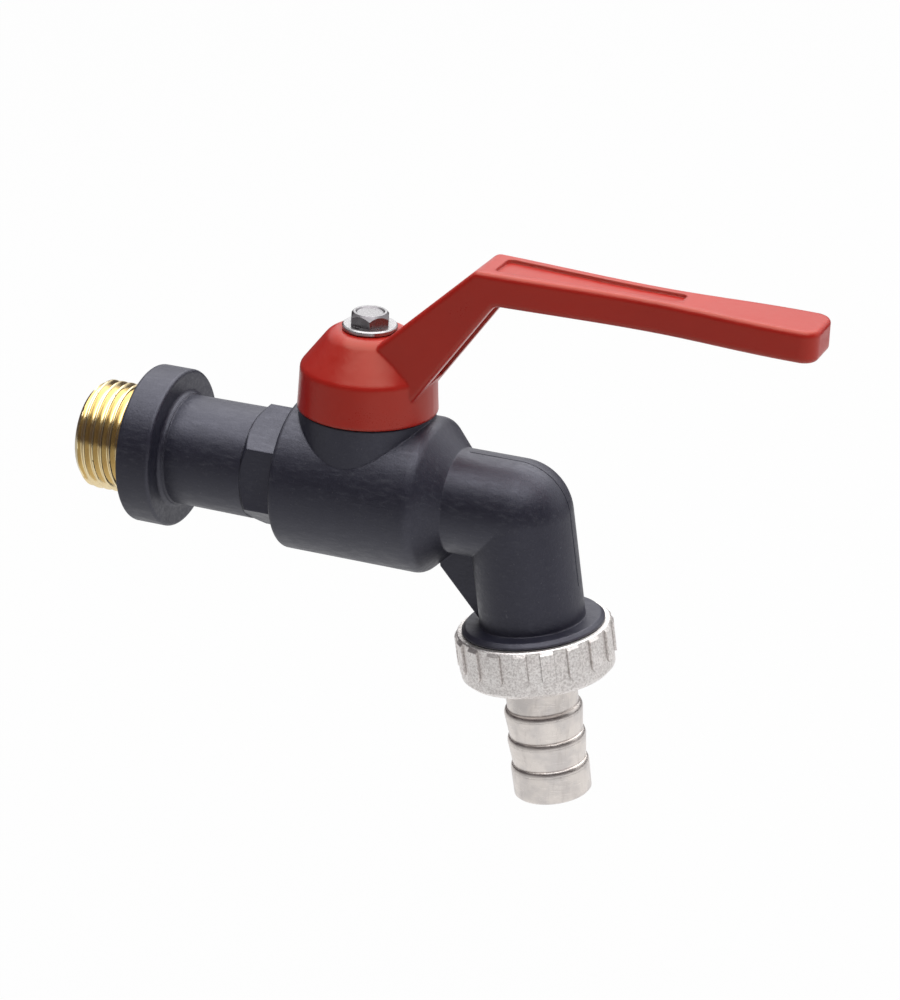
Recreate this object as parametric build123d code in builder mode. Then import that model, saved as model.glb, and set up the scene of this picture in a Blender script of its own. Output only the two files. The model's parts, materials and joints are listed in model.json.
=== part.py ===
from build123d import *

import os
from math import asin, cos, degrees, pi, radians, sin, sqrt, tan

# Plastic hose tap: a quarter-turn ball valve with a threaded brass inlet and a hose union.
# Origin: on the pipe axis, at the wall face of the inlet flange. +X runs with the water from
# inlet to outlet, +Z runs up the stem, and the lever lies over the outlet when the valve is open.
# All sizes are in millimetres.

# Clearances
fit_gap = 0.05  # pieces that are screwed, pressed or moulded into each other
run_gap = 0.05  # a stem or nut that turns in its seat
free_gap = 0.3  # moving faces that never touch
ring_gap = 0.02  # sealing rings against the walls they seal

# Inlet nipple, the brass insert with the pipe thread
inlet_thread_d = 20.955
inlet_thread_len = 11.5
inlet_chamfer = 1.4
thread_relief = 1.2
thread_seat = 0.6
nipple_wall = 2.0
shank_len = 14.0
anchor_start = 1.8
anchor_len = 2.8
anchor_cover = 2.8

# Inlet tailpiece, moulded round the nipple
flange_d = 30.2
flange_t = 6.8
flange_edge = 0.6
flange_root = 0.8
root_len = 0.9
root_step = 0.25
tube_d = 20.9
tube_draft = 0.1
tail_wall = 2.05
tail_len = 30.9
wrench_af = 20.6
wrench_len = 7.5
wrench_turn = 3.7
wrench_chamfer = 1.3
spigot_wall = 1.25
spigot_thread_step = 0.45
spigot_thread_len = 6.5
tail_ring_section = 1.7
tail_ring_x = 2.0

# Ball and seats
bore_d = 10.4
ball_wall = 3.7
ball_rim = 1.2
seat_gap = 0.08
seat_lip = 0.3
seat_web = 2.1
cushion_section = 1.2
slot_w = 4.2
slot_floor = 1.2

# Valve body
mouth_to_stem = 13.7
barrel_wall = 5.35
mouth_round = 1.0
barrel_out_len = 14.0
barrel_round = 3.0
waterway_step = 0.4
outlet_wall = 4.25
outlet_run = 11.9
spout_tilt = 9.5
bend_r = 0.6
collar_l = 21.0
collar_t = 1.0
collar_lip = 0.13
collar_edge = 0.7
spout_thread_d = 26.44
spout_thread_depth = 1.16
spout_thread_len = 5.2
gusset_t = 3.2
gusset_toe = 0.1
neck_rise = 0.35
boss_wall = 3.0
boss_h = 6.4

# Stem and its rings
stem_d = 9.0
tang_root = 0.2
stem_collar_lip = 1.0
stem_collar_t = 1.7
thrust_t = 0.75
stem_ring_section = 1.5
stem_ring_first = 2.0
stem_ring_pitch = 2.8
square_af = 6.4
square_corner_d = 8.7
square_short = 0.7

# Handle
skirt_d = 26.1
skirt_h = 7.9
skirt_draft = 0.4
skirt_wall = 1.7
hub_top_d = 14.3
cone_h = 7.1
shoulder_round = 1.6
hub_round = 3.5
arm_w = 12.4
arm_root_w = 14.2
arm_start = 4.0
arm_start_drop = 0.75
arm_slope = 43.0
arm_foot_in = 0.35
arm_foot_drop = 1.85
arm_back_slope = 54.5
arm_channel_w = 7.0
arm_channel_d = 1.0
arm_channel_foot = 1.5
arm_channel_head = 1.6
arm_channel_runout = 3.0
lever_rise = 16.3
lever_t = 6.1
lever_tip_t = 5.8
lever_reach = 84.95
lever_droop = 1.34
waist_w = 9.0
waist_at = 58.4
tip_w = 11.9
tip_straight = 5.0
tip_corner = 3.0
knee_round = 2.0
lever_edge = 0.9
recess_rim = 2.3
recess_depth = 0.6
recess_start = 2.8
recess_end = 59.4
recess_corner = 1.2
stop_w = 2.4
stop_wall = 2.0
quarter_turn = 90.0
stop_slack = 1.0

# Handle screw and washer
screw_d = 4.0
screw_len = 11.0
screw_head_af = 6.8
screw_head_h = 2.35
screw_head_top_d = 6.2
screw_head_turn = 51.3
screw_head_bevel = 50.0
screw_head_dish_d = 5.4
screw_head_dish = 0.3
washer_d = 10.2
washer_t = 1.1
washer_edge = 0.25

# Hose union
nut_gap = 0.15
nut_wall = 1.1
nut_cap_t = 1.35
nut_edge = 0.2
nut_end_edge = 0.8
rib_count = 18
rib_w = 2.5
rib_h = 0.45
rib_ramp = 0.62
rib_len = 6.8
gasket_t = 1.5
gasket_room = 0.5
tail_flange_t = 1.35
hose_neck_d = 13.5
hose_neck_len = 6.6
hose_bore_d = 10.0
barb_count = 3
barb_d = 14.8
barb_root_d = 13.8
barb_rise = 1.2
barb_pitch = 5.6
barb_end_len = 5.35
barb_end_chamfer = 0.4

# Worked-out radii
inlet_thread_r = inlet_thread_d / 2
relief_r = inlet_thread_r - thread_relief
thread_seat_r = inlet_thread_r + free_gap
flange_r = flange_d / 2
tube_r = tube_d / 2
root_r = tube_r + root_step
shank_r = tube_r - tail_wall
nipple_bore_r = shank_r - nipple_wall
anchor_af = 2 * (flange_r - anchor_cover) * cos(pi / 6)
wrench_corner_r = wrench_af / 2 / cos(pi / 6)
bore_r = bore_d / 2
ball_r = bore_r + ball_wall
seat_sphere_r = ball_r + seat_gap
land_r = ball_r - ball_rim
seat_r = land_r + seat_lip
spigot_r = seat_r + spigot_wall
spigot_thread_r = spigot_r + spigot_thread_step
chamber_r = spigot_r + fit_gap
barrel_r = chamber_r + barrel_wall
waterway_r = bore_r + waterway_step
outlet_r = waterway_r + outlet_wall
spout_thread_r = spout_thread_d / 2
spout_core_r = spout_thread_r - spout_thread_depth
collar_r = spout_thread_r + collar_lip
stem_r = stem_d / 2
stem_bore_r = stem_r + run_gap
stem_collar_r = stem_r + stem_collar_lip
pocket_r = stem_collar_r + free_gap
boss_r = stem_bore_r + boss_wall
skirt_r = skirt_d / 2
shoulder_r = skirt_r - skirt_draft
cavity_r = shoulder_r - skirt_wall
neck_r = skirt_r - free_gap - fit_gap
nut_bore_r = spout_thread_r + run_gap
nut_r = nut_bore_r + nut_wall
rib_root_r = nut_r - nut_wall / 2

# Stations along the pipe axis
body_x = tail_len
wrench_x = body_x - wrench_len
stem_x = body_x + mouth_to_stem
seat_front = sqrt(seat_sphere_r**2 - land_r**2)
seat_mouth = sqrt(seat_sphere_r**2 - bore_r**2)
seat_back = seat_mouth + seat_web
land_angle = (asin(land_r / seat_sphere_r) + asin(bore_r / seat_sphere_r)) / 2
recess_x = seat_back + cushion_section + 2 * ring_gap
spigot_x = stem_x - seat_front
barrel_x = stem_x + barrel_out_len
cone_x = barrel_x + barrel_r - outlet_r
elbow_x = cone_x + outlet_run
bend_turn = 90 - spout_tilt
bend_x = elbow_x - bend_r * tan(radians(bend_turn / 2))

# Heights along the stem
slot_z = bore_r + slot_floor
stem_collar_z = chamber_r + tang_root
thrust_z = stem_collar_z + stem_collar_t
pocket_z = thrust_z + thrust_t + run_gap
neck_z = barrel_r + neck_rise
boss_z = neck_z + boss_h
skirt_z = neck_z + free_gap
roof_z = boss_z + free_gap
shoulder_z = skirt_z + skirt_h
hub_z = shoulder_z + cone_h
stem_ring_z = [pocket_z + stem_ring_first + i * stem_ring_pitch for i in range(2)]

# Lengths along the spout, measured from the point where its axis crosses the pipe axis
spout_start = bend_r * tan(radians(bend_turn / 2))
thread_l = collar_l + collar_t
nut_l = thread_l + nut_gap
spout_l = thread_l + spout_thread_len
gasket_l = spout_l + gasket_t
cap_l = gasket_l + tail_flange_t + run_gap
nut_end_l = cap_l + nut_cap_t
rib_end_l = nut_l + rib_len
neck_end_l = nut_end_l + hose_neck_len
barb_crests = [neck_end_l + barb_rise + i * barb_pitch for i in range(barb_count)]
hose_end_l = barb_crests[-1] + barb_end_len

# Planes and axes
tilt = radians(spout_tilt)
spout_across = (cos(tilt), 0, sin(tilt))
spout_along = (sin(tilt), 0, -cos(tilt))
spout_plane = Plane(origin=(elbow_x, 0, 0), x_dir=spout_across, z_dir=spout_along)
spout_section = Plane(origin=(elbow_x, 0, 0), x_dir=spout_across, z_dir=(0, 1, 0))
spout_axis = Axis((elbow_x, 0, 0), spout_along)
stem_section = Plane(origin=(stem_x, 0, 0), x_dir=(1, 0, 0), z_dir=(0, -1, 0))
stem_plane = Plane(origin=(stem_x, 0, 0))
stem_axis = Axis((stem_x, 0, 0), (0, 0, 1))

os.makedirs("parts", exist_ok=True)


def turned(plane, axis, *points, mode=Mode.ADD):
    """Solid of revolution from a closed outline, added to or cut from the part in use."""
    with BuildSketch(plane) as section:
        Polygon(*points, align=None)
    revolve(section.sketch, axis=axis, mode=mode)


def ring(plane, axis, centre, section_d):
    """Ring of round section about the axis, with the section's centre given on the plane."""
    with BuildSketch(plane) as section:
        with Locations(centre):
            Circle(section_d / 2)
    revolve(section.sketch, axis=axis)


def finish(piece, name):
    """Label one finished piece and write it."""
    piece.part.label = name
    export_step(piece.part, f"parts/{name}.step")


# Inlet nipple: thread with a relief behind it, then shank and hexagonal anchor inside the flange
with BuildPart() as inlet_nipple:
    turned(
        Plane.XZ,
        Axis.X,
        (-inlet_thread_len, nipple_bore_r),
        (-inlet_thread_len, inlet_thread_r - inlet_chamfer),
        (-inlet_thread_len + inlet_chamfer, inlet_thread_r),
        (0, inlet_thread_r),
        (0, relief_r),
        (thread_seat, relief_r),
        (thread_seat, shank_r),
        (shank_len, shank_r),
        (shank_len, nipple_bore_r),
    )
    with BuildSketch(Plane.YZ.offset(anchor_start)):
        RegularPolygon(anchor_af / 2, 6, major_radius=False)
        Circle(nipple_bore_r, mode=Mode.SUBTRACT)
    extrude(amount=anchor_len)
finish(inlet_nipple, "inlet_nipple")

# Wrench section of the tailpiece: hexagon with its corners turned off towards the flange
with BuildPart() as wrench_section:
    with BuildSketch(Plane.YZ.offset(wrench_x)):
        RegularPolygon(wrench_af / 2, 6, major_radius=False, rotation=30 - wrench_turn)
    extrude(amount=wrench_len)
    turned(
        Plane.XZ,
        Axis.X,
        (wrench_x, 0),
        (wrench_x, wrench_af / 2),
        (wrench_x + wrench_chamfer, wrench_corner_r),
        (body_x, wrench_corner_r),
        (body_x, 0),
        mode=Mode.INTERSECT,
    )

# Inlet tailpiece: wall flange, drafted tube, wrench section and the spigot that holds the inlet seat
with BuildPart() as inlet_tailpiece:
    tube_end_r = tube_r + tube_draft
    ring_groove_r = spigot_thread_r - tail_ring_section
    groove_half = tail_ring_section / 2 + ring_gap
    ring_x = body_x + tail_ring_x
    with BuildSketch(Plane.XZ):
        Polygon(
            (0, 0),
            (0, flange_r),
            (flange_t, flange_r),
            (flange_t, root_r),
            (flange_t + root_len, root_r),
            (flange_t + root_len, tube_r),
            (wrench_x, tube_end_r),
            (wrench_x, spigot_thread_r),
            (ring_x - groove_half, spigot_thread_r),
            (ring_x - groove_half, ring_groove_r),
            (ring_x + groove_half, ring_groove_r),
            (ring_x + groove_half, spigot_thread_r),
            (body_x + spigot_thread_len, spigot_thread_r),
            (body_x + spigot_thread_len, spigot_r),
            (spigot_x, spigot_r),
            (spigot_x, 0),
            align=None,
        )
    revolve(axis=Axis.X)
    rims = inlet_tailpiece.edges().filter_by(GeomType.CIRCLE)
    fillet(rims.filter_by(lambda e: abs(e.radius - flange_r) < fit_gap), flange_edge)
    roots = inlet_tailpiece.edges().filter_by(GeomType.CIRCLE)
    roots = roots.filter_by(lambda e: abs(e.radius - root_r) < fit_gap)
    fillet(roots.sort_by(Axis.X)[0], flange_root)
    add(wrench_section.part)
    turned(
        Plane.XZ,
        Axis.X,
        (0, 0),
        (0, thread_seat_r),
        (thread_seat, thread_seat_r),
        (thread_seat, nipple_bore_r),
        (shank_len, nipple_bore_r),
        (shank_len, waterway_r),
        (stem_x - recess_x, waterway_r),
        (stem_x - recess_x, seat_r + fit_gap),
        (spigot_x, seat_r + fit_gap),
        (spigot_x, 0),
        mode=Mode.SUBTRACT,
    )
    add(inlet_nipple.part, mode=Mode.SUBTRACT)
finish(inlet_tailpiece, "inlet_tailpiece")

with BuildPart() as tailpiece_o_ring:
    ring_centre = (ring_x, spigot_thread_r - tail_ring_section / 2 + ring_gap)
    ring(Plane.XZ, Axis.X, ring_centre, tail_ring_section)
finish(tailpiece_o_ring, "tailpiece_o_ring")

# Seats: rings with a spherical face to the ball, each backed by a soft cushion ring
for side, name in ((-1, "inlet"), (1, "outlet")):
    with BuildPart() as seat:
        with BuildSketch(stem_section):
            with BuildLine():
                face_mid = seat_sphere_r * cos(land_angle), seat_sphere_r * sin(land_angle)
                ThreePointArc(
                    (side * seat_front, land_r),
                    (side * face_mid[0], face_mid[1]),
                    (side * seat_mouth, bore_r),
                )
                Polyline(
                    (side * seat_mouth, bore_r),
                    (side * seat_back, bore_r),
                    (side * seat_back, seat_r),
                    (side * seat_front, seat_r),
                    (side * seat_front, land_r),
                )
            make_face()
        revolve(axis=Axis.X)
    finish(seat, f"{name}_seat")

    with BuildPart() as cushion:
        cushion_x = stem_x + side * (seat_back + cushion_section / 2 + ring_gap)
        cushion_r = (waterway_r + seat_r) / 2
        ring(Plane.XZ, Axis.X, (cushion_x, cushion_r), cushion_section)
    finish(cushion, f"{name}_seat_cushion")

# Ball, open: its bore lies along the pipe and its slot across it
with BuildPart() as ball:
    with BuildSketch(stem_section):
        with BuildLine():
            bore_half = sqrt(ball_r**2 - bore_r**2)
            ThreePointArc((-bore_half, bore_r), (0, ball_r), (bore_half, bore_r))
            Line((bore_half, bore_r), (-bore_half, bore_r))
        make_face()
    revolve(axis=Axis.X)
    with BuildSketch(stem_plane.offset(slot_z)):
        Rectangle(slot_w, 2 * ball_r)
    extrude(amount=ball_r, mode=Mode.SUBTRACT)
finish(ball, "ball")

# Stem: tang in the ball's slot, thrust collar, two ring grooves and a square for the handle
with BuildPart() as stem:
    groove_r = stem_r - stem_ring_section
    groove_h = stem_ring_section + 2 * ring_gap
    tang_sweep_r = seat_front - free_gap
    with BuildSketch(stem_plane.offset(slot_z + fit_gap)):
        Rectangle(slot_w - 2 * fit_gap, 2 * tang_sweep_r)
        Circle(tang_sweep_r, mode=Mode.INTERSECT)
    extrude(amount=stem_collar_z - slot_z)
    turned(
        stem_section,
        stem_axis,
        (0, stem_collar_z),
        (stem_collar_r, stem_collar_z),
        (stem_collar_r, thrust_z),
        (stem_r, thrust_z),
        (stem_r, roof_z),
        (0, roof_z),
    )
    for z in stem_ring_z:
        with BuildSketch(stem_plane.offset(z - groove_h / 2)):
            Circle(stem_r)
            Circle(groove_r, mode=Mode.SUBTRACT)
        extrude(amount=groove_h, mode=Mode.SUBTRACT)
    with BuildSketch(stem_plane.offset(roof_z)):
        Rectangle(square_af, square_af)
        Circle(square_corner_d / 2, mode=Mode.INTERSECT)
    extrude(amount=hub_z - square_short - roof_z)
    with BuildSketch(stem_plane.offset(hub_z - square_short)):
        Circle(screw_d / 2 + ring_gap)
    extrude(amount=-screw_len, mode=Mode.SUBTRACT)
finish(stem, "stem")

with BuildPart() as stem_thrust_washer:
    with BuildSketch(stem_plane.offset(thrust_z)):
        Circle(stem_collar_r)
        Circle(stem_bore_r, mode=Mode.SUBTRACT)
    extrude(amount=thrust_t)
finish(stem_thrust_washer, "stem_thrust_washer")

for z, name in zip(stem_ring_z, ("lower", "upper")):
    with BuildPart() as stem_ring:
        stem_ring_centre = (stem_r + ring_gap - stem_ring_section / 2, z)
        ring(stem_section, stem_axis, stem_ring_centre, stem_ring_section)
    finish(stem_ring, f"stem_o_ring_{name}")

# Angles of the stop lug in the handle, which swings between two posts on the neck
stop_in_r = boss_r + free_gap
stop_out_r = stop_in_r + stop_wall
lug_open = 90 + quarter_turn / 2
lug_closed = 90 - quarter_turn / 2
post_step = degrees(2 * asin(stop_w / 2 / stop_in_r)) + stop_slack

# Valve body: barrel, elbow, threaded spout end, web under the elbow and neck for the stem
with BuildPart() as valve_body:
    with BuildSketch(Plane.XZ) as barrel_half:
        Polygon(
            (body_x, 0),
            (body_x, barrel_r),
            (barrel_x, barrel_r),
            (cone_x, outlet_r),
            (bend_x, outlet_r),
            (bend_x, 0),
            align=None,
        )
        fillet(barrel_half.vertices().sort_by_distance((body_x, barrel_r))[0], mouth_round)
        fillet(barrel_half.vertices().sort_by_distance((barrel_x, barrel_r))[0], barrel_round)
    revolve(axis=Axis.X)
    with BuildSketch(Plane.YZ.offset(bend_x)):
        Circle(outlet_r)
        with Locations((0, -bend_r)):
            above_pivot = (Align.CENTER, Align.MIN)
            Rectangle(2 * outlet_r, 2 * outlet_r, align=above_pivot, mode=Mode.INTERSECT)
    revolve(axis=Axis((bend_x, 0, -bend_r), (0, 1, 0)), revolution_arc=bend_turn)
    turned(
        spout_section,
        spout_axis,
        (0, spout_start),
        (outlet_r, spout_start),
        (outlet_r, collar_l),
        (collar_r - collar_edge, collar_l),
        (collar_r, collar_l + collar_edge),
        (collar_r, thread_l),
        (spout_core_r, thread_l),
        (spout_core_r, spout_l),
        (0, spout_l),
    )
    with BuildSketch(Plane.XZ):
        web_start = (barrel_x + 0.7 * barrel_round, -barrel_r + barrel_round / 2)
        web_end = spout_section.from_local_coords((-outlet_r - gusset_toe, collar_l, 0))
        Polygon(
            web_start,
            (web_end.X, web_end.Z),
            (elbow_x, web_end.Z),
            (elbow_x, 0),
            (barrel_x, 0),
            align=None,
        )
    extrude(amount=gusset_t / 2, both=True)
    with BuildSketch(stem_plane):
        Circle(neck_r)
    extrude(amount=neck_z)
    with BuildSketch(stem_plane.offset(neck_z)):
        Circle(boss_r)
        for angle in (lug_open + post_step, lug_closed - post_step):
            with PolarLocations(stop_out_r, 1, start_angle=angle):
                Rectangle(stop_out_r - stem_bore_r, stop_w, align=(Align.MAX, Align.CENTER))
    extrude(amount=boss_h / 2)
    with BuildSketch(stem_plane.offset(neck_z)):
        Circle(boss_r)
    extrude(amount=boss_h)
    turned(
        Plane.XZ,
        Axis.X,
        (body_x, 0),
        (body_x, spigot_thread_r + fit_gap),
        (body_x + spigot_thread_len + fit_gap, spigot_thread_r + fit_gap),
        (body_x + spigot_thread_len + fit_gap, chamber_r),
        (stem_x + seat_front, chamber_r),
        (stem_x + seat_front, seat_r + fit_gap),
        (stem_x + recess_x, seat_r + fit_gap),
        (stem_x + recess_x, waterway_r),
        (elbow_x, waterway_r),
        (elbow_x, 0),
        mode=Mode.SUBTRACT,
    )
    with Locations((elbow_x, 0, 0)):
        Sphere(waterway_r, mode=Mode.SUBTRACT)
    turned(
        spout_section,
        spout_axis,
        (0, 0),
        (waterway_r, 0),
        (waterway_r, spout_l),
        (0, spout_l),
        mode=Mode.SUBTRACT,
    )
    turned(
        stem_section,
        stem_axis,
        (0, 0),
        (pocket_r, 0),
        (pocket_r, pocket_z),
        (stem_bore_r, pocket_z),
        (stem_bore_r, boss_z),
        (0, boss_z),
        mode=Mode.SUBTRACT,
    )
finish(valve_body, "valve_body")

# Side view of arm and lever, from the stem axis out
arm_start_z = hub_z - arm_start_drop
knee_z = hub_z + lever_rise
knee_u = arm_start + (knee_z - arm_start_z) / tan(radians(arm_slope))
foot_u = shoulder_r - arm_foot_in
foot_z = shoulder_z - arm_foot_drop
under_z = knee_z - lever_t
under_u = foot_u + (under_z - foot_z) / tan(radians(arm_back_slope))
droop = tan(radians(lever_droop))
tip_top_z = knee_z - (lever_reach - knee_u) * droop
tip_under_z = tip_top_z - lever_tip_t
arm_axis_z = arm_start_z - arm_start * tan(radians(arm_slope))
foot_in_u = sqrt(shoulder_r**2 - (arm_w / 2) ** 2) - arm_foot_in
foot_in_z = foot_z - (foot_u - foot_in_u) * tan(radians(arm_back_slope))


def lever_plan(inset, start, end, corner):
    """Plan view of arm and lever between two distances from the stem, drawn inset from the edge."""
    root_half = arm_root_w / 2 - inset
    arm_half = arm_w / 2 - inset
    waist_half = waist_w / 2 - inset
    tip_half = tip_w / 2 - inset
    tip_u = lever_reach - tip_straight
    with BuildSketch(stem_plane) as plan:
        with BuildLine():
            Line((0, -root_half), (0, root_half))
            for side in (-1, 1):
                Line((0, side * root_half), (knee_u, side * arm_half))
                Spline(
                    (knee_u, side * arm_half),
                    (waist_at, side * waist_half),
                    (tip_u, side * tip_half),
                    tangents=((knee_u, side * (arm_half - root_half)), (1, 0)),
                )
                Line((tip_u, side * tip_half), (lever_reach, side * tip_half))
            Line((lever_reach, -tip_half), (lever_reach, tip_half))
        make_face()
        with Locations(((start + end) / 2, 0)):
            Rectangle(end - start, 2 * arm_w, mode=Mode.INTERSECT)
        fillet(plan.vertices().group_by(Axis.X)[-1], corner)
        if start > 0:
            fillet(plan.vertices().group_by(Axis.X)[0], corner)
    return plan.sketch


def lever_top(u):
    """Height of the lever's top face at a distance from the stem axis."""
    return knee_z - (u - knee_u) * droop


# Shallow tray in the lever's top face
with BuildPart() as lever_recess:
    recess_u = knee_u + recess_start
    with BuildSketch(stem_section):
        Polygon(
            (recess_u, lever_top(recess_u) - recess_depth),
            (recess_end, lever_top(recess_end) - recess_depth),
            (recess_end, knee_z + recess_depth),
            (recess_u, knee_z + recess_depth),
            align=None,
        )
    extrude(amount=arm_w, both=True)
    tray = lever_plan(recess_rim, recess_u, recess_end, recess_corner)
    extrude(tray, amount=2 * knee_z, mode=Mode.INTERSECT)

# Channel in the underside of the arm, running out before the knee
back_along = Vector(cos(radians(arm_back_slope)), sin(radians(arm_back_slope)))
back_out = Vector(back_along.Y, -back_along.X)
channel_foot = Vector(foot_u, foot_z) + back_along * arm_channel_foot
channel_head = Vector(under_u, under_z) - back_along * arm_channel_head
arm_channel = [
    channel_foot + back_out * arm_channel_d,
    channel_foot - back_out * arm_channel_d,
    channel_head - back_along * arm_channel_runout - back_out * arm_channel_d,
    channel_head,
    channel_head + back_out * arm_channel_d,
]

# Handle: hollow hub, cranked arm and waisted lever in one moulding
with BuildPart() as handle:
    with BuildSketch(stem_section) as side_view:
        Polygon(
            (0, arm_axis_z),
            (knee_u, knee_z),
            (lever_reach, tip_top_z),
            (lever_reach, tip_under_z),
            (under_u, under_z),
            (foot_in_u, foot_in_z),
            (0, foot_in_z),
            align=None,
        )
        fillet(side_view.vertices().sort_by_distance((knee_u, knee_z))[0], knee_round)
        fillet(side_view.vertices().sort_by_distance((under_u, under_z))[0], knee_round)
    extrude(amount=arm_w, both=True)
    whole = lever_plan(0, 0, lever_reach, tip_corner)
    extrude(whole, amount=2 * knee_z, mode=Mode.INTERSECT)
    long_edges = handle.edges().filter_by(Axis.Z, reverse=True)
    long_edges = long_edges.filter_by(lambda e: e.center().Z > shoulder_z)
    cross_edges = long_edges.filter_by(Axis.Y)
    tip_edges = cross_edges.filter_by(lambda e: e.center().X > stem_x + waist_at)
    fillet(long_edges - cross_edges + tip_edges, lever_edge)
    with BuildSketch(stem_section) as hub_half:
        Polygon(
            (0, skirt_z),
            (skirt_r, skirt_z),
            (shoulder_r, shoulder_z),
            (hub_top_d / 2, hub_z),
            (0, hub_z),
            align=None,
        )
        fillet(hub_half.vertices().sort_by_distance((shoulder_r, shoulder_z))[0], shoulder_round)
        fillet(hub_half.vertices().sort_by_distance((hub_top_d / 2, hub_z))[0], hub_round)
    revolve(axis=stem_axis)
    with BuildSketch(stem_plane.offset(skirt_z)):
        Circle(cavity_r)
        with PolarLocations(stop_in_r, 1, start_angle=lug_open):
            Rectangle(cavity_r, stop_w, align=(Align.MIN, Align.CENTER), mode=Mode.SUBTRACT)
    extrude(amount=roof_z - skirt_z, mode=Mode.SUBTRACT)
    with BuildSketch(stem_plane.offset(roof_z)):
        Rectangle(square_af + 2 * fit_gap, square_af + 2 * fit_gap)
    extrude(amount=hub_z - roof_z, mode=Mode.SUBTRACT)
    with BuildSketch(stem_plane.offset(hub_z)):
        Circle(washer_d / 2 + fit_gap)
    extrude(amount=washer_t, mode=Mode.SUBTRACT)
    add(lever_recess.part, mode=Mode.SUBTRACT)
    with BuildSketch(stem_section):
        Polygon(*arm_channel, align=None)
    extrude(amount=arm_channel_w / 2, both=True, mode=Mode.SUBTRACT)
finish(handle, "handle")

with BuildPart() as handle_washer:
    washer_top_z = hub_z + washer_t
    turned(
        stem_section,
        stem_axis,
        (screw_d / 2 + ring_gap, hub_z),
        (washer_d / 2 - washer_edge, hub_z),
        (washer_d / 2, hub_z + washer_edge),
        (washer_d / 2, washer_top_z - washer_edge),
        (washer_d / 2 - washer_edge, washer_top_z),
        (screw_d / 2 + ring_gap, washer_top_z),
    )
finish(handle_washer, "handle_washer")

# Screw: hexagon head with a bevelled, slightly dished top
with BuildPart() as handle_screw:
    head_top_z = washer_top_z + screw_head_h
    head_corner_r = screw_head_af / 2 / cos(pi / 6)
    head_bevel_h = (head_corner_r - screw_head_top_d / 2) * tan(radians(screw_head_bevel))
    with BuildSketch(stem_plane.offset(washer_top_z)):
        RegularPolygon(screw_head_af / 2, 6, major_radius=False, rotation=screw_head_turn)
    extrude(amount=screw_head_h)
    turned(
        stem_section,
        stem_axis,
        (0, washer_top_z),
        (head_corner_r, washer_top_z),
        (head_corner_r, head_top_z - head_bevel_h),
        (screw_head_top_d / 2, head_top_z),
        (screw_head_dish_d / 2, head_top_z),
        (screw_head_dish_d / 2 - screw_head_dish, head_top_z - screw_head_dish),
        (0, head_top_z - screw_head_dish),
        mode=Mode.INTERSECT,
    )
    with BuildSketch(stem_plane.offset(washer_top_z)):
        Circle(screw_d / 2)
    extrude(amount=-screw_len)
finish(handle_screw, "handle_screw")

# Grip ribs of the union nut: flat, with a sloped upper end and a round lower end
with BuildPart() as nut_ribs:
    rib_turns = [i * 360 / rib_count for i in range(rib_count)]
    rib_outs = [Vector(spout_across).rotate(spout_axis, turn) for turn in rib_turns]
    rib_planes = [Plane((elbow_x, 0, 0), x_dir=spout_along, z_dir=out) for out in rib_outs]
    rib_straight = rib_len - rib_w / 2
    with BuildSketch(*[plane.offset(rib_root_r) for plane in rib_planes]):
        with Locations((nut_l, 0)):
            Rectangle(rib_straight, rib_w, align=(Align.MIN, Align.CENTER))
        with Locations((nut_l + rib_straight, 0)):
            Circle(rib_w / 2)
    extrude(amount=nut_r + rib_h - rib_root_r)
    turned(
        spout_section,
        spout_axis,
        (rib_root_r, nut_l + nut_edge),
        (nut_r, nut_l + nut_edge),
        (nut_r + rib_h, nut_l + nut_edge + rib_ramp),
        (nut_r + rib_h, rib_end_l),
        (rib_root_r, rib_end_l),
        mode=Mode.INTERSECT,
    )

# Union nut: ribbed sleeve with a cap that draws the hose tail against the spout
with BuildPart() as union_nut:
    cap_hole_r = hose_neck_d / 2 + free_gap
    turned(
        spout_section,
        spout_axis,
        (nut_bore_r, nut_l),
        (nut_r - nut_edge, nut_l),
        (nut_r, nut_l + nut_edge),
        (nut_r, nut_end_l - nut_end_edge),
        (nut_r - nut_end_edge, nut_end_l),
        (cap_hole_r, nut_end_l),
        (cap_hole_r, cap_l),
        (nut_bore_r, cap_l),
    )
    add(nut_ribs.part)
finish(union_nut, "union_nut")

# Hose tail: flange held by the nut, plain neck and sawtooth barbs that taper to the free end
with BuildPart() as hose_tail:
    barbs = []
    for crest_l in barb_crests:
        barbs += [(barb_root_d / 2, crest_l - barb_rise), (barb_d / 2, crest_l)]
    turned(
        spout_section,
        spout_axis,
        (hose_bore_d / 2, gasket_l),
        (nut_bore_r - free_gap, gasket_l),
        (nut_bore_r - free_gap, gasket_l + tail_flange_t),
        (hose_neck_d / 2, gasket_l + tail_flange_t),
        (hose_neck_d / 2, neck_end_l),
        *barbs,
        (barb_root_d / 2 + barb_end_chamfer, hose_end_l - barb_end_chamfer),
        (barb_root_d / 2, hose_end_l),
        (hose_bore_d / 2, hose_end_l),
    )
finish(hose_tail, "hose_tail")

with BuildPart() as hose_gasket:
    turned(
        spout_section,
        spout_axis,
        (waterway_r, spout_l),
        (nut_bore_r - gasket_room, spout_l),
        (nut_bore_r - gasket_room, gasket_l),
        (waterway_r, gasket_l),
    )
finish(hose_gasket, "hose_gasket")
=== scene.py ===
import json
from math import ceil, cos, hypot, pi, radians, sin, tan

import bpy
from mathutils import Matrix, Vector


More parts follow.
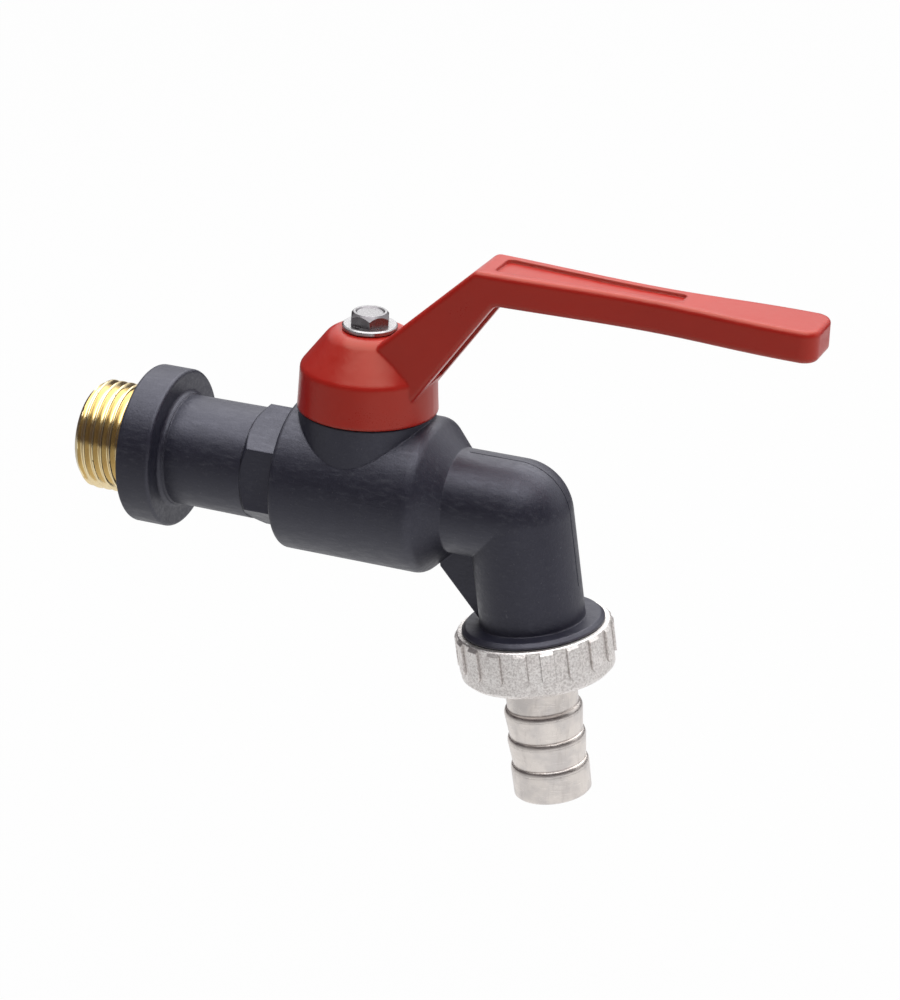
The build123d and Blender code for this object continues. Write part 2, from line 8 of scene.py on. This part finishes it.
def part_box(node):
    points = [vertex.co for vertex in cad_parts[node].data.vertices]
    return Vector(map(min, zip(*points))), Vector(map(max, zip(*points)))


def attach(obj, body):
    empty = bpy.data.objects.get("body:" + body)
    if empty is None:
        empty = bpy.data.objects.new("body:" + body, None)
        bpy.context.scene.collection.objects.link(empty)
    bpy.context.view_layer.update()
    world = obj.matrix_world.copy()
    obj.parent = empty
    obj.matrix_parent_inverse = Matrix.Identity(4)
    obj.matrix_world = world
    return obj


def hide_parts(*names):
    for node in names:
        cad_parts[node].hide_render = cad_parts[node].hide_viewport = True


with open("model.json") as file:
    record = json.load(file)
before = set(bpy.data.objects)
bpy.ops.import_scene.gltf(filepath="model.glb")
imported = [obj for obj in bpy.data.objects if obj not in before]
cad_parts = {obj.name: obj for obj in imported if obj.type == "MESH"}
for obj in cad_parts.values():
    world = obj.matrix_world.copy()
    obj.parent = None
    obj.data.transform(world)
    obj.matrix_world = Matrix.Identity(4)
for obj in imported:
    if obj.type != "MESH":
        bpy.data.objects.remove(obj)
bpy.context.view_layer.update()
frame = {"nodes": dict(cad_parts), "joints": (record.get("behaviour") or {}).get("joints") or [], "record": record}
nodes = frame["nodes"]

MM = 0.001
NEAR = 0.01 * MM

# Camera, as the photograph was taken
VIEW_AZIMUTH = radians(21.3)
VIEW_ELEVATION = radians(22.7)
VIEW_ROLL = radians(2.12)
VIEW_TARGET = Vector((61.5, 0, -0.36)) * MM
VIEW_DISTANCE = 600 * MM
FOCAL_PX = 3258
FRAME_LONG_PX = 1000
SENSOR_MM = 36
CLIP_NEAR = 0.01
CLIP_FAR = 100

# Studio: lengths in metres, powers in watts, colours and shades as shares
FLOOR_Z = -120 * MM
FLOOR_SIZE = 8.0
SOFTBOX_SIZE = (1.1, 1.8)
SOFTBOX_PLACE = Vector((0.06, 0.35, 0.75))
SOFTBOX_POWER = 15.0
FILL = 0.1
FLOOR_GREY = 0.6
FLOOR_SHARE = 0.97
FLOOR_SHADE = 0.52
FLOOR_SHADE_FROM = 0.02
FLOOR_SHADE_TO = 0.3
FLOOR_SHADE_FRONT = 0.2
FLOOR_SHADE_LEFT = 1.2
SIDE_SIZE = (0.8, 0.8)
SIDE_PLACE = Vector((0.95, 0.1, 0.25))
SIDE_POWER = 2.5

# Dark wall: its edges are the angle round the view and the angles of the lower and upper end, in degrees
FLAG_RADIUS = 0.5
FLAG_EDGES = (
    (-170, -18, 14),
    (-125, -18, 22),
    (-100, -14, 34),
    (-70, -6, 50),
    (75, -6, 50),
    (80, -6, 4),
    (110, -10, 4),
    (170, -18, 14),
)
FLAG_STEP = 5
FLAG_COLOUR = (0.10, 0.085, 0.088)

# Pipe threads: pitch and depth are those of the half-inch and three-quarter-inch sizes
PITCH = 1.814 * MM
THREAD_DEPTH = 1.162 * MM
THREAD_STEPS = 14
THREAD_FLAT = 0.12
ROUND_STEPS = 180
EDGE_ANGLE = radians(50)
SPOUT_CORE_R = 12.06 * MM
SPOUT_THREAD_R = 13.22 * MM
NUT_BORE_R = 13.27 * MM
SPOUT_THREAD_L = (22.0 * MM, 27.2 * MM)
NUT_THREAD_L = (22.4 * MM, 27.1 * MM)
THREAD_RUNOUT = 0.9 * MM
THREAD_PLAY = 0.08 * MM
THREAD_ROOT = 0.1 * MM

# Rounded lips of the barbs, which are all narrower than a share of the tail's flange
BARB_SHARE = 0.7
PROFILE_DIGITS = 5
LIP_STEPS = 12
LIP_SINK = 0.2 * MM

# Parting line of the body's mould: angles round the elbow in degrees, and its section
LINE_TURN = (136, -46)
LINE_STEP = 1.5
LINE_W = 0.5 * MM
LINE_H = 0.06 * MM
LINE_SINK = 0.03 * MM

# Shading: samples for rounded edges and for the painted shade in corners, and how dull the zinc's darker crystals
# are
EDGE_SAMPLES = 6
CORNER_SAMPLES = 8
ZINC_DULL = 0.72


# Shader nodes

def node(tree, kind, inputs=None, **settings):
    """One shader node, with its settings, and its inputs linked or given a value."""
    made = tree.nodes.new(kind)
    for key, value in settings.items():
        setattr(made, key, value)
    for key, value in (inputs or {}).items():
        if isinstance(value, bpy.types.NodeSocket):
            tree.links.new(value, made.inputs[key])
        else:
            made.inputs[key].default_value = value
    return made


def place(tree, scale=(1, 1, 1)):
    """Position on the object in metres, stretched by a scale for each axis."""
    coords = node(tree, "ShaderNodeTexCoord").outputs["Object"]
    return node(tree, "ShaderNodeMapping", {"Vector": coords, "Scale": scale}).outputs["Vector"]


def noise(tree, size, detail=3.0, rough=0.5, stretch=(1, 1, 1)):
    """Noise whose features are about one size across, in metres, from 0 to 1."""
    inputs = {"Vector": place(tree, stretch), "Scale": 1 / size, "Detail": detail, "Roughness": rough}
    return node(tree, "ShaderNodeTexNoise", inputs).outputs["Fac"]


def combine(tree, operation, a, b):
    """Arithmetic on two values."""
    return node(tree, "ShaderNodeMath", {0: a, 1: b}, operation=operation).outputs["Value"]


def ease(tree, value, low, high, to_low=0.0, to_high=1.0):
    """Smooth step of a value from one range to another."""
    inputs = {"Value": value, "From Min": low, "From Max": high, "To Min": to_low, "To Max": to_high}
    return node(tree, "ShaderNodeMapRange", inputs, interpolation_type="SMOOTHSTEP").outputs["Result"]


def blend(tree, share, first, second):
    """Mix of two colours, each a socket or three numbers."""
    mixer = node(tree, "ShaderNodeMix", {"Factor": share}, data_type="RGBA")
    sockets = [s for s in mixer.inputs if s.type == "RGBA"]
    for socket, colour in zip(sockets, (first, second)):
        if isinstance(colour, bpy.types.NodeSocket):
            tree.links.new(colour, socket)
        else:
            socket.default_value = (*colour, 1)
    return next(s for s in mixer.outputs if s.type == "RGBA")


def relief(tree, height, depth, strength=1.0, under=None):
    """Surface relief from a height of 0 to 1, as deep as given in metres."""
    inputs = {"Height": height, "Distance": depth, "Strength": strength}
    if under is not None:
        inputs["Normal"] = under
    return node(tree, "ShaderNodeBump", inputs).outputs["Normal"]


def rounded(tree, radius):
    """Surface direction with the edges rounded off, so that they catch the light."""
    return node(tree, "ShaderNodeBevel", {"Radius": radius}, samples=EDGE_SAMPLES).outputs["Normal"]


def material(name, **constants):
    """Material with the shader's constant values set on its own sockets."""
    made = bpy.data.materials.new(name)
    made.use_nodes = True
    shader = made.node_tree.nodes["Principled BSDF"]
    for key, value in constants.items():
        socket = shader.inputs[key.replace("_", " ").title().replace("Ior", "IOR")]
        socket.default_value = value
    return made, made.node_tree, shader


def bare_material(name):
    """Material without any nodes, and its node tree."""
    made = bpy.data.materials.new(name)
    made.use_nodes = True
    made.node_tree.nodes.clear()
    return made, made.node_tree


def drive(tree, shader, **sockets):
    """Link worked-out values to the shader."""
    for key, value in sockets.items():
        tree.links.new(value, shader.inputs[key.replace("_", " ").title()])


# Materials

def black_plastic():
    """Moulded charcoal plastic: satin, mottled, with rub marks and dust."""
    made, tree, shader = material("black_plastic", metallic=0.0, ior=1.7, specular_tint=(0.86, 0.86, 1.0, 1))
    mottle = noise(tree, 9 * MM, 4, 0.6)
    grain = noise(tree, 0.45 * MM, 3, 0.65)
    rubs = noise(tree, 1.6 * MM, 5, 0.7, (0.6, 2.0, 2.0))
    dust = ease(tree, noise(tree, 0.5 * MM, 2, 0.5), 0.68, 0.76)
    scuff = ease(tree, rubs, 0.5, 0.68)
    colour = blend(tree, mottle, (0.0088, 0.0088, 0.0172), (0.016, 0.0162, 0.029))
    colour = blend(tree, combine(tree, "MULTIPLY", scuff, 0.6), colour, (0.041, 0.0415, 0.053))
    colour = blend(tree, combine(tree, "MULTIPLY", dust, 0.4), colour, (0.10, 0.10, 0.11))
    rough = combine(tree, "MULTIPLY", grain, 0.1)
    rough = combine(tree, "ADD", ease(tree, rubs, 0.3, 0.7, 0.34, 0.5), rough)
    surface = relief(tree, mottle, 0.3 * MM, 0.3, rounded(tree, 0.45 * MM))
    surface = relief(tree, rubs, 0.05 * MM, 0.6, surface)
    surface = relief(tree, grain, 0.05 * MM, 0.6, surface)
    drive(tree, shader, base_color=colour, roughness=rough, normal=surface)
    return made


def red_plastic():
    """Moulded red plastic: satin, slightly cloudy and uneven, with a fine grain."""
    made, tree, shader = material("red_plastic", metallic=0.0, ior=1.5, specular_tint=(1.0, 0.98, 0.77, 1))
    cloud = noise(tree, 14 * MM, 3, 0.55)
    wobble = noise(tree, 3.5 * MM, 2, 0.5)
    grain = noise(tree, 0.3 * MM, 2, 0.6)
    colour = blend(tree, cloud, (0.425, 0.0125, 0.0085), (0.505, 0.0175, 0.0115))
    rough = combine(tree, "MULTIPLY", grain, 0.06)
    rough = combine(tree, "ADD", ease(tree, cloud, 0.3, 0.7, 0.25, 0.32), rough)
    surface = relief(tree, cloud, 0.3 * MM, 0.3, rounded(tree, 0.75 * MM))
    surface = relief(tree, wobble, 0.14 * MM, 0.4, surface)
    surface = relief(tree, grain, 0.012 * MM, 0.5, surface)
    drive(tree, shader, base_color=colour, roughness=rough, normal=surface)
    return made


def brass():
    """Machined brass: bright, with turning marks round the axis and a little tarnish in patches."""
    made, tree, shader = material("brass", metallic=1.0)
    tarnish = noise(tree, 3 * MM, 4, 0.6)
    turning = noise(tree, 0.5 * MM, 3, 0.7, (4, 0.12, 0.12))
    colour = blend(tree, tarnish, (0.86, 0.74, 0.46), (0.72, 0.555, 0.31))
    rough = ease(tree, turning, 0.3, 0.7, 0.14, 0.26)
    drive(tree, shader, base_color=colour, roughness=rough, normal=relief(tree, turning, 0.01 * MM, 0.4))
    return made


def cast_nickel():
    """Cast and nickel plated: pale, grainy, with warm and cool patches, and painted shade darkening its concave
    corners.
    """
    made, tree, shader = material("cast_nickel", metallic=1.0)
    patch = noise(tree, 3.5 * MM, 3, 0.5)
    grain = noise(tree, 0.42 * MM, 4, 0.7)
    pits = ease(tree, grain, 0.34, 0.62)
    # Painted shade: ambient occlusion within half a millimetre darkens the colour towards a dark grey in the
    # concave corners.
    nearby = {"Distance": 0.5 * MM}
    corner = node(tree, "ShaderNodeAmbientOcclusion", nearby, only_local=True, samples=CORNER_SAMPLES)
    corner_shade = ease(tree, corner.outputs["AO"], 0.4, 0.9, 0.7, 0.0)
    colour = blend(tree, patch, (0.97, 0.915, 0.89), (0.93, 0.915, 0.90))
    colour = blend(tree, pits, (0.66, 0.62, 0.60), colour)
    # Painted shade in the corners, blended over the metal's colour.
    colour = blend(tree, corner_shade, colour, (0.22, 0.20, 0.19))
    rough = ease(tree, grain, 0.3, 0.7, 0.5, 0.32)
    surface = relief(tree, grain, 0.09 * MM, 0.8, rounded(tree, 0.12 * MM))
    drive(tree, shader, base_color=colour, roughness=rough, normal=surface)
    return made


def turned_nickel():
    """Turned and nickel plated: satin, with fine marks round the axis and faint streaks along it."""
    made, tree, shader = material("turned_nickel", metallic=1.0)
    patch = noise(tree, 4 * MM, 3, 0.55)
    streak = noise(tree, 1.3 * MM, 4, 0.6, (1, 1, 0.2))
    turning = noise(tree, 0.35 * MM, 3, 0.7, (0.15, 0.15, 3))
    colour = blend(tree, ease(tree, patch, 0.35, 0.65), (0.785, 0.73, 0.69), (0.65, 0.61, 0.59))
    colour = blend(tree, ease(tree, streak, 0.5, 0.75, 0.0, 0.5), colour, (0.53, 0.485, 0.46))
    rough = ease(tree, turning, 0.3, 0.7, 0.26, 0.42)
    surface = relief(tree, streak, 0.05 * MM, 0.4, rounded(tree, 0.4 * MM))
    surface = relief(tree, turning, 0.015 * MM, 0.6, surface)
    drive(tree, shader, base_color=colour, roughness=rough, normal=surface)
    return made


def zinc_steel(name, face, flank):
    """Zinc-plated steel with a fine, uneven crystalline finish, and painted shade on its flanks, the faces that
    don't face upward.
    """
    made, tree, shader = material(name, metallic=1.0)
    patch = ease(tree, noise(tree, 1.2 * MM, 4, 0.65), 0.35, 0.65)
    grain = noise(tree, 0.15 * MM, 2, 0.6)
    # Painted shade: every face that doesn't face upward takes the darker flank colour, so the sides look darker
    # than the top.
    facing = node(tree, "ShaderNodeNewGeometry").outputs["Normal"]
    upward = node(tree, "ShaderNodeSeparateXYZ", {0: facing}).outputs["Z"]
    colour = blend(tree, patch, face, tuple(ZINC_DULL * c for c in face))
    colour = blend(tree, ease(tree, upward, 0.75, 0.9, 1.0, 0.0), colour, flank)
    rough = ease(tree, patch, 0.0, 1.0, 0.24, 0.38)
    surface = relief(tree, grain, 0.01 * MM, 0.4, rounded(tree, 0.12 * MM))
    drive(tree, shader, base_color=colour, roughness=rough, normal=surface)
    return made


def seat_plastic():
    """Smooth white low-friction plastic."""
    made, tree, shader = material("seat_plastic", metallic=0.0)
    cloud = noise(tree, 4 * MM, 3, 0.5)
    colour = blend(tree, cloud, (0.80, 0.79, 0.75), (0.72, 0.71, 0.67))
    drive(tree, shader, base_color=colour, roughness=ease(tree, cloud, 0.3, 0.7, 0.25, 0.35))
    return made


def rubber():
    """Moulded black rubber."""
    made, tree, shader = material("rubber", metallic=0.0)
    bloom = noise(tree, 2 * MM, 4, 0.6)
    colour = blend(tree, bloom, (0.012, 0.012, 0.012), (0.03, 0.03, 0.03))
    drive(tree, shader, base_color=colour, roughness=ease(tree, bloom, 0.3, 0.7, 0.55, 0.7))
    return made


FINISHES = {
    black_plastic(): ("inlet_tailpiece", "valve_body"),
    red_plastic(): ("handle",),
    brass(): ("inlet_nipple", "stem"),
    cast_nickel(): ("union_nut",),
    turned_nickel(): ("hose_tail",),
    # The second colour of each zinc finish is painted shade for the flanks of the washer and the screw head.
    zinc_steel("washer_zinc", (0.60, 0.59, 0.60), (0.36, 0.35, 0.36)): ("handle_washer",),
    zinc_steel("screw_zinc", (0.49, 0.48, 0.49), (0.19, 0.18, 0.19)): ("handle_screw",),
    seat_plastic(): ("ball", "inlet_seat", "outlet_seat", "stem_thrust_washer"),
    rubber(): (
        "inlet_seat_cushion",
        "outlet_seat_cushion",
        "tailpiece_o_ring",
        "stem_o_ring_lower",
        "stem_o_ring_upper",
        "hose_gasket",
    ),
}
for finish, members in FINISHES.items():
    for member in members:
        nodes[member].data.materials.clear()
        nodes[member].data.materials.append(finish)


# Pieces

def mesh_object(name, points, faces, finish):
    """Object of one mesh and one finish, linked to the scene."""
    mesh = bpy.data.meshes.new(name)
    mesh.from_pydata(points, [], faces)
    mesh.materials.append(finish)
    mesh.update()
    made = bpy.data.objects.new(name, mesh)
    bpy.context.scene.collection.objects.link(made)
    return made


def turned_piece(name, rings, place_matrix, finish, body):
    """Closed piece round an axis, of rings: each a distance along it and a radius as a function of angle."""
    angles = [2 * pi * i / ROUND_STEPS for i in range(ROUND_STEPS)]
    points = []
    for along, radius in rings:
        for angle in angles:
            r = radius(angle)
            points.append(place_matrix @ Vector((r * cos(angle), r * sin(angle), along)))
    faces = []
    for i in range(len(rings)):
        j = (i + 1) % len(rings)
        for k in range(ROUND_STEPS):
            n = (k + 1) % ROUND_STEPS
            faces.append([row * ROUND_STEPS + column for row, column in ((i, k), (i, n), (j, n), (j, k))])
    piece = mesh_object(name, points, faces, finish)
    piece.data.shade_smooth()
    piece.data.set_sharp_from_angle(angle=EDGE_ANGLE)
    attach(piece, body)
    return piece


def thread_dip(along, angle):
    """Share of the thread's depth below its crest, for a right-hand thread along the axis."""
    turn = (along / PITCH - angle / (2 * pi)) % 1
    flank = abs(2 * turn - 1)
    share = min(max((flank - THREAD_FLAT) / (1 - 2 * THREAD_FLAT), 0), 1)
    return (share + share * share * (3 - 2 * share)) / 2


def steps(start, end, step):
    """Evenly spaced values from start to end, both included."""
    count = max(1, ceil(abs(end - start) / step))
    return [start + (end - start) * i / count for i in range(count + 1)]


def plain(radius):
    """Round ring."""
    return lambda angle: radius


# Frames with z along the inlet and along the spout
inlet_matrix = Matrix(((0, 0, 1), (1, 0, 0), (0, 1, 0))).to_4x4()
spout_joint = next(j for j in frame["joints"] if j["name"] == "union_nut_turn")
spout_along = Vector(spout_joint["axis"]).normalized()
spout_side = Vector((0, 1, 0))
spout_across = spout_side.cross(spout_along)
spout_matrix = Matrix((spout_across, spout_side, spout_along)).transposed().to_4x4()
spout_matrix.translation = Vector(spout_joint["pos_m"])


def inlet_nipple():
    """Brass nipple with its pipe thread cut, on the plain nipple's bore, shank and hexagon."""
    solid = nodes["inlet_nipple"].data.vertices
    thread_r = frame["record"]["mounts"][0]["dims"]["r_mm"] * MM
    low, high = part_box("inlet_nipple")
    bore_r = min(hypot(v.co.y, v.co.z) for v in solid)
    shank_r = max(hypot(v.co.y, v.co.z) for v in solid if v.co.x > high.x - NEAR)
    end_r = max(hypot(v.co.y, v.co.z) for v in solid if v.co.x < low.x + NEAR)
    thread_x = max(v.co.x for v in solid if abs(hypot(v.co.y, v.co.z) - thread_r) < NEAR)
    hexagon = [v.co for v in solid if hypot(v.co.y, v.co.z) > thread_r + NEAR]
    hex_start = min(c.x for c in hexagon)
    hex_end = max(c.x for c in hexagon)
    corner = max(hexagon, key=lambda c: hypot(c.y, c.z))
    hex_flat = hypot(corner.y, corner.z) * cos(pi / 6)
    undercut = [v.co for v in solid if thread_x + NEAR < v.co.x < hex_start - NEAR]
    undercut_x = max(c.x for c in undercut)
    undercut_r = max(hypot(c.y, c.z) for c in undercut)

    def threaded(along):
        def radius(angle):
            cut = thread_r - THREAD_DEPTH * thread_dip(along, angle)
            return min(cut, end_r + along - low.x)
        return radius

    def hexed(angle):
        turn = (angle + pi / 6) % (pi / 3) - pi / 6
        return hex_flat / cos(turn)

    rings = [(low.x, plain(bore_r))]
    rings += [(along, threaded(along)) for along in steps(low.x, thread_x, PITCH / THREAD_STEPS)]
    rings += [(thread_x, plain(undercut_r)), (undercut_x, plain(undercut_r))]
    rings += [(undercut_x, plain(shank_r))]
    rings += [(hex_start, plain(shank_r)), (hex_start, hexed), (hex_end, hexed)]
    rings += [(hex_end, plain(shank_r)), (high.x, plain(shank_r)), (high.x, plain(bore_r))]
    finish = nodes["inlet_nipple"].data.materials[0]
    piece = turned_piece("inlet_nipple_threaded", rings, inlet_matrix, finish, "valve")
    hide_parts("inlet_nipple")


def thread_fade(along, span):
    """Share of the thread's height left near its ends."""
    return min(1, max(0, min(along - span[0], span[1] - along) / THREAD_RUNOUT))


def spout_thread():
    """Thread on the plain core of the spout's end."""
    def ridge(along):
        height = (SPOUT_THREAD_R - SPOUT_CORE_R) * thread_fade(along, SPOUT_THREAD_L)
        return lambda angle: SPOUT_CORE_R + height * (1 - thread_dip(along, angle))
    root = SPOUT_CORE_R - THREAD_ROOT
    stations = steps(*SPOUT_THREAD_L, PITCH / THREAD_STEPS)
    rings = [(stations[0], plain(root))]
    rings += [(along, ridge(along)) for along in stations]
    rings += [(stations[-1], plain(root))]
    finish = nodes["valve_body"].data.materials[0]
    turned_piece("spout_thread", rings, spout_matrix, finish, "valve")


def nut_thread():
    """Thread in the union nut's plain bore, in mesh with the spout's."""
    def ridge(along):
        height = (NUT_BORE_R - SPOUT_CORE_R - THREAD_PLAY) * thread_fade(along, NUT_THREAD_L)
        return lambda angle: NUT_BORE_R - height * thread_dip(along, angle)
    root = NUT_BORE_R + THREAD_ROOT
    stations = steps(*NUT_THREAD_L, PITCH / THREAD_STEPS)
    rings = [(stations[-1], plain(root))]
    rings += [(along, ridge(along)) for along in reversed(stations)]
    rings += [(stations[0], plain(root))]
    finish = nodes["union_nut"].data.materials[0]
    turned_piece("union_nut_thread", rings, spout_matrix, finish, "union_nut")


def barb_lips():
    """Rounded lip over the plain slope of each of the hose tail's barbs."""
    to_spout = spout_matrix.inverted()
    spots = [to_spout @ v.co for v in nodes["hose_tail"].data.vertices]
    measures = [(spot.z, hypot(spot.x, spot.y)) for spot in spots]
    profile = sorted({(round(along, PROFILE_DIGITS), round(r, PROFILE_DIGITS)) for along, r in measures})
    flange_r = max(r for _, r in profile)
    crest_r = max(r for _, r in profile if r < BARB_SHARE * flange_r)
    crests = [i for i, (_, r) in enumerate(profile) if r == crest_r]
    finish = nodes["hose_tail"].data.materials[0]
    for number, i in enumerate(crests, 1):
        j = i
        while profile[j - 1][1] < profile[j][1]:
            j -= 1
        foot, foot_r = profile[j]
        length = profile[i][0] - foot
        height = crest_r - foot_r
        turns = steps(0, pi / 2, pi / 2 / LIP_STEPS)
        rings = [(foot + length * (1 - cos(turn)), plain(foot_r + height * sin(turn))) for turn in turns]
        rings += [(foot + length, plain(crest_r - LIP_SINK)), (foot, plain(foot_r - LIP_SINK))]
        turned_piece(f"barb_lip_{number}", rings, spout_matrix, finish, "hose_union")


def parting_line():
    """Fine raised line that the mould leaves along the top of the outlet and down the spout's outer side."""
    pivot = spout_matrix.translation - spout_along * (spout_matrix.translation.z / spout_along.z)
    solid = nodes["valve_body"]
    points = []
    for turn in steps(radians(LINE_TURN[0]), radians(LINE_TURN[1]), radians(LINE_STEP)):
        out = Vector((cos(turn), 0, sin(turn)))
        _, spot, facing, _ = solid.ray_cast(pivot + out, -out)
        facing = Vector((facing.x, 0, facing.z)).normalized()
        foot = spot - facing * LINE_SINK
        points += [foot - spout_side * LINE_W / 2, spot + facing * LINE_H, foot + spout_side * LINE_W / 2]
    faces = []
    for i in range(0, len(points) - 3, 3):
        faces += [(i + a, i + b, i + b + 3, i + a + 3) for a, b in ((0, 1), (1, 2), (2, 0))]
    faces += [(0, 1, 2), tuple(len(points) - k for k in (1, 2, 3))]
    piece = mesh_object("parting_line", points, faces, solid.data.materials[0])
    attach(piece, "valve")


inlet_nipple()
spout_thread()
nut_thread()
barb_lips()
parting_line()


# Studio

def seen_directly(tree):
    """1 for what the camera, gloss or glass sees of the background, and 0 for its light."""
    path = node(tree, "ShaderNodeLightPath").outputs
    gloss = combine(tree, "MAXIMUM", path["Is Glossy Ray"], path["Is Transmission Ray"])
    return combine(tree, "MAXIMUM", path["Is Camera Ray"], gloss)


def floor():
    """Plain white floor with a faint shadow, which gloss sees darker towards the front and the left."""
    paint, tree = bare_material("floor_white")
    matt = node(tree, "ShaderNodeBsdfDiffuse", {"Color": (FLOOR_GREY, FLOOR_GREY, FLOOR_GREY, 1)}).outputs[0]
    front = Vector((sin(VIEW_AZIMUTH), -cos(VIEW_AZIMUTH), 0))
    left = Vector((-cos(VIEW_AZIMUTH), -sin(VIEW_AZIMUTH), 0))
    spot = node(tree, "ShaderNodeNewGeometry").outputs["Position"]
    offset = node(tree, "ShaderNodeVectorMath", {0: spot, 1: VIEW_TARGET}, operation="SUBTRACT").outputs[0]
    toward = FLOOR_SHADE_FRONT * front + FLOOR_SHADE_LEFT * left
    nearer = node(tree, "ShaderNodeVectorMath", {0: offset, 1: toward}, operation="DOT_PRODUCT")
    shade = ease(tree, nearer.outputs["Value"], FLOOR_SHADE_FROM, FLOOR_SHADE_TO, 1.0, FLOOR_SHADE)
    shade = combine(tree, "MAXIMUM", shade, node(tree, "ShaderNodeLightPath").outputs["Is Camera Ray"])
    white = node(tree, "ShaderNodeEmission", {"Color": (1, 1, 1, 1), "Strength": shade}).outputs[0]
    share = combine(tree, "MULTIPLY", seen_directly(tree), FLOOR_SHARE)
    mixed = node(tree, "ShaderNodeMixShader", {0: share, 1: matt, 2: white}).outputs[0]
    node(tree, "ShaderNodeOutputMaterial", {"Surface": mixed})
    half = FLOOR_SIZE / 2
    corners = [(x, y, FLOOR_Z) for x, y in ((-half, -half), (half, -half), (half, half), (-half, half))]
    made = mesh_object("floor", corners, [(0, 1, 2, 3)], paint)


def flag_edge(turn, low, high):
    """Lower and upper end of one upright line of the flag, from its angles in degrees."""
    turn = VIEW_AZIMUTH + radians(turn)
    out = Vector((sin(turn), -cos(turn), 0)) * FLAG_RADIUS
    return [VIEW_TARGET + out + Vector((0, 0, FLAG_RADIUS * tan(radians(angle)))) for angle in (low, high)]


def flag():
    """Dark wall round the object, seen by gloss only, as in a studio with its light overhead."""
    corners = []
    for start, end in zip(FLAG_EDGES, FLAG_EDGES[1:]):
        count = (end[0] - start[0]) // FLAG_STEP
        for i in range(count):
            turn, low, high = (a + (b - a) * i / count for a, b in zip(start, end))
            corners += flag_edge(turn, low, high)
    corners += flag_edge(*FLAG_EDGES[-1])
    faces = [(i, i + 1, i + 3, i + 2) for i in range(0, len(corners) - 2, 2)]
    paint, tree = bare_material("flag_dark")
    dark = node(tree, "ShaderNodeEmission", {"Color": (*FLAG_COLOUR, 1), "Strength": 1.0}).outputs[0]
    node(tree, "ShaderNodeOutputMaterial", {"Surface": dark})
    made = mesh_object("flag", corners, faces, paint)
    made.visible_camera = False
    made.visible_diffuse = False
    made.visible_shadow = False
    made.visible_transmission = False


def softbox(name, size, power, location, aim=None):
    """Soft rectangular lamp, pointing straight down or at a point."""
    lamp = bpy.data.lights.new(name, "AREA")
    lamp.shape = "RECTANGLE"
    lamp.size, lamp.size_y = size
    lamp.energy = power
    made = bpy.data.objects.new(name, lamp)
    bpy.context.scene.collection.objects.link(made)
    made.location = location
    if aim is not None:
        made.rotation_euler = (aim - location).to_track_quat("-Z", "Y").to_euler()
    return made


def light():
    """Large softbox overhead, a weak one to the right that gloss doesn't see, and an even fill."""
    softbox("softbox", SOFTBOX_SIZE, SOFTBOX_POWER, SOFTBOX_PLACE)
    softbox("side", SIDE_SIZE, SIDE_POWER, SIDE_PLACE, VIEW_TARGET).visible_glossy = False

    world = bpy.data.worlds.new("studio")
    bpy.context.scene.world = world
    world.use_nodes = True
    tree = world.node_tree
    tree.nodes.clear()
    colour = blend(tree, seen_directly(tree), (FILL, FILL, FILL), (1, 1, 1))
    sky = node(tree, "ShaderNodeBackground", {"Color": colour, "Strength": 1.0}).outputs[0]
    node(tree, "ShaderNodeOutputWorld", {"Surface": sky})


def camera():
    """Camera at the photograph's viewing angle."""
    back = Vector((
        sin(VIEW_AZIMUTH) * cos(VIEW_ELEVATION),
        -cos(VIEW_AZIMUTH) * cos(VIEW_ELEVATION),
        sin(VIEW_ELEVATION),
    ))
    right = Vector((cos(VIEW_AZIMUTH), sin(VIEW_AZIMUTH), 0))
    level = Matrix((right, back.cross(right), back)).transposed()
    lens = bpy.data.cameras.new("camera")
    lens.sensor_width = SENSOR_MM
    lens.lens = FOCAL_PX * SENSOR_MM / FRAME_LONG_PX
    lens.clip_start = CLIP_NEAR
    lens.clip_end = CLIP_FAR
    made = bpy.data.objects.new("camera", lens)
    bpy.context.scene.collection.objects.link(made)
    made.matrix_world = (level @ Matrix.Rotation(VIEW_ROLL, 3, "Z")).to_4x4()
    made.location = VIEW_TARGET + back * VIEW_DISTANCE
    bpy.context.scene.camera = made


floor()
flag()
light()
camera()
bpy.context.scene.view_settings.view_transform = "Standard"
